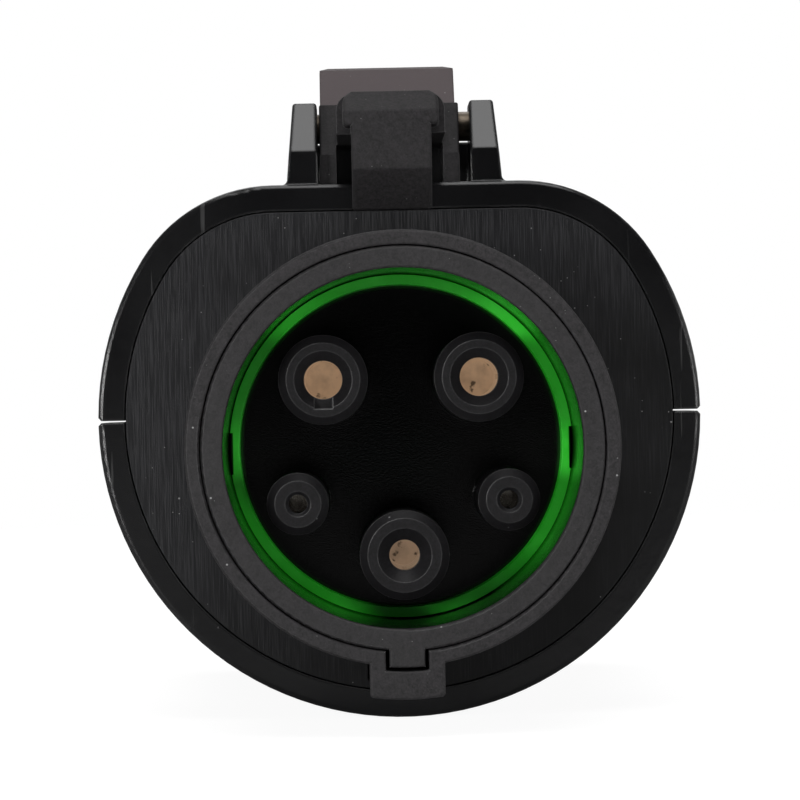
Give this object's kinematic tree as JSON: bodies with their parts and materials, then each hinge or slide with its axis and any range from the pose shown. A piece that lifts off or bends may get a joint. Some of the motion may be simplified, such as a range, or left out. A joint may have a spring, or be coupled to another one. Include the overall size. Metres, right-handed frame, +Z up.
{
  "type": "electric vehicle charging adapter",
  "caption": "Handheld charging adapter: flat-topped round housing with a keyed round plug nose and sprung latch in front and a D-shaped inlet behind.",
  "frame": {"origin": "centre of the footprint: middle of width and length, on the surface the housing lies on", "axes": "+Y from the plug nose to the inlet, +Z up with the latch on top, +X to the right seen from the nose"},
  "size_m": [0.0644, 0.133, 0.0724],
  "materials": {
    "housing_plastic": "glossy black moulding with light scratches",
    "plate_plastic": "black, half gloss, finely brushed by handling",
    "nose_plastic": "charcoal, fine spark-eroded grain",
    "inlet_plastic": "black, fine grain",
    "plunger_plastic": "natural white",
    "seal_rubber": "green, smooth",
    "contact_brass": "bare brass, slightly dulled",
    "silvered_brass": "silver plated",
    "plain_steel": "plain bright",
    "board_laminate": "green laminate",
    "brown_insulation": "smooth",
    "blue_insulation": "smooth",
    "green_insulation": "smooth, green and yellow",
    "white_insulation": "smooth"
  },
  "bodies": {
    "housing": {"board_screws": "plain_steel", "circuit_board": "board_laminate", "contact_carrier": "nose_plastic", "contact_retainer": "inlet_plastic", "faceplate": "plate_plastic", "inlet_body": "inlet_plastic", "inlet_pin_cp": "silvered_brass", "inlet_pin_l1": "silvered_brass", "inlet_pin_n": "silvered_brass", "inlet_pin_pe": "silvered_brass", "inlet_pin_pp": "silvered_brass", "latch_pin": "plain_steel", "latch_spring": "plain_steel", "lower_shell": "housing_plastic", "nose_shroud": "nose_plastic", "nose_sleeve": "nose_plastic", "pin_retainer": "inlet_plastic", "release_switch": "inlet_plastic", "seal_ring": "seal_rubber", "shell_screws": "plain_steel", "socket_contact_cp": "contact_brass", "socket_contact_l1": "contact_brass", "socket_contact_n": "contact_brass", "socket_contact_pe": "contact_brass", "socket_contact_pp": "contact_brass", "upper_shell": "housing_plastic", "wire_cp": "white_insulation", "wire_l1": "brown_insulation", "wire_n": "blue_insulation", "wire_pe": "green_insulation", "wire_pp": "white_insulation"},
    "latch": {"latch_lever": "nose_plastic"},
    "plunger": {"switch_plunger": "plunger_plastic"}
  },
  "joints": [
    {"name": "latch_pivot", "type": "hinge", "parent": "housing", "child": "latch", "pos_m": [-0.00045, -0.0255, 0.06345], "axis": [-1, 0, 0], "range_deg": [0, 7], "stiffness_Nm_per_rad": 1.2, "springref_deg": -6.3, "deforming": ["latch_spring"]},
    {"name": "switch_slide", "type": "slide", "parent": "housing", "child": "plunger", "axis": [0, 0, -1], "range_m": [0, 0.0017]}
  ],
  "couplings": [
    {"joint": "switch_slide", "follows": "latch_pivot", "m_per_rad": 0.0131}
  ]
}
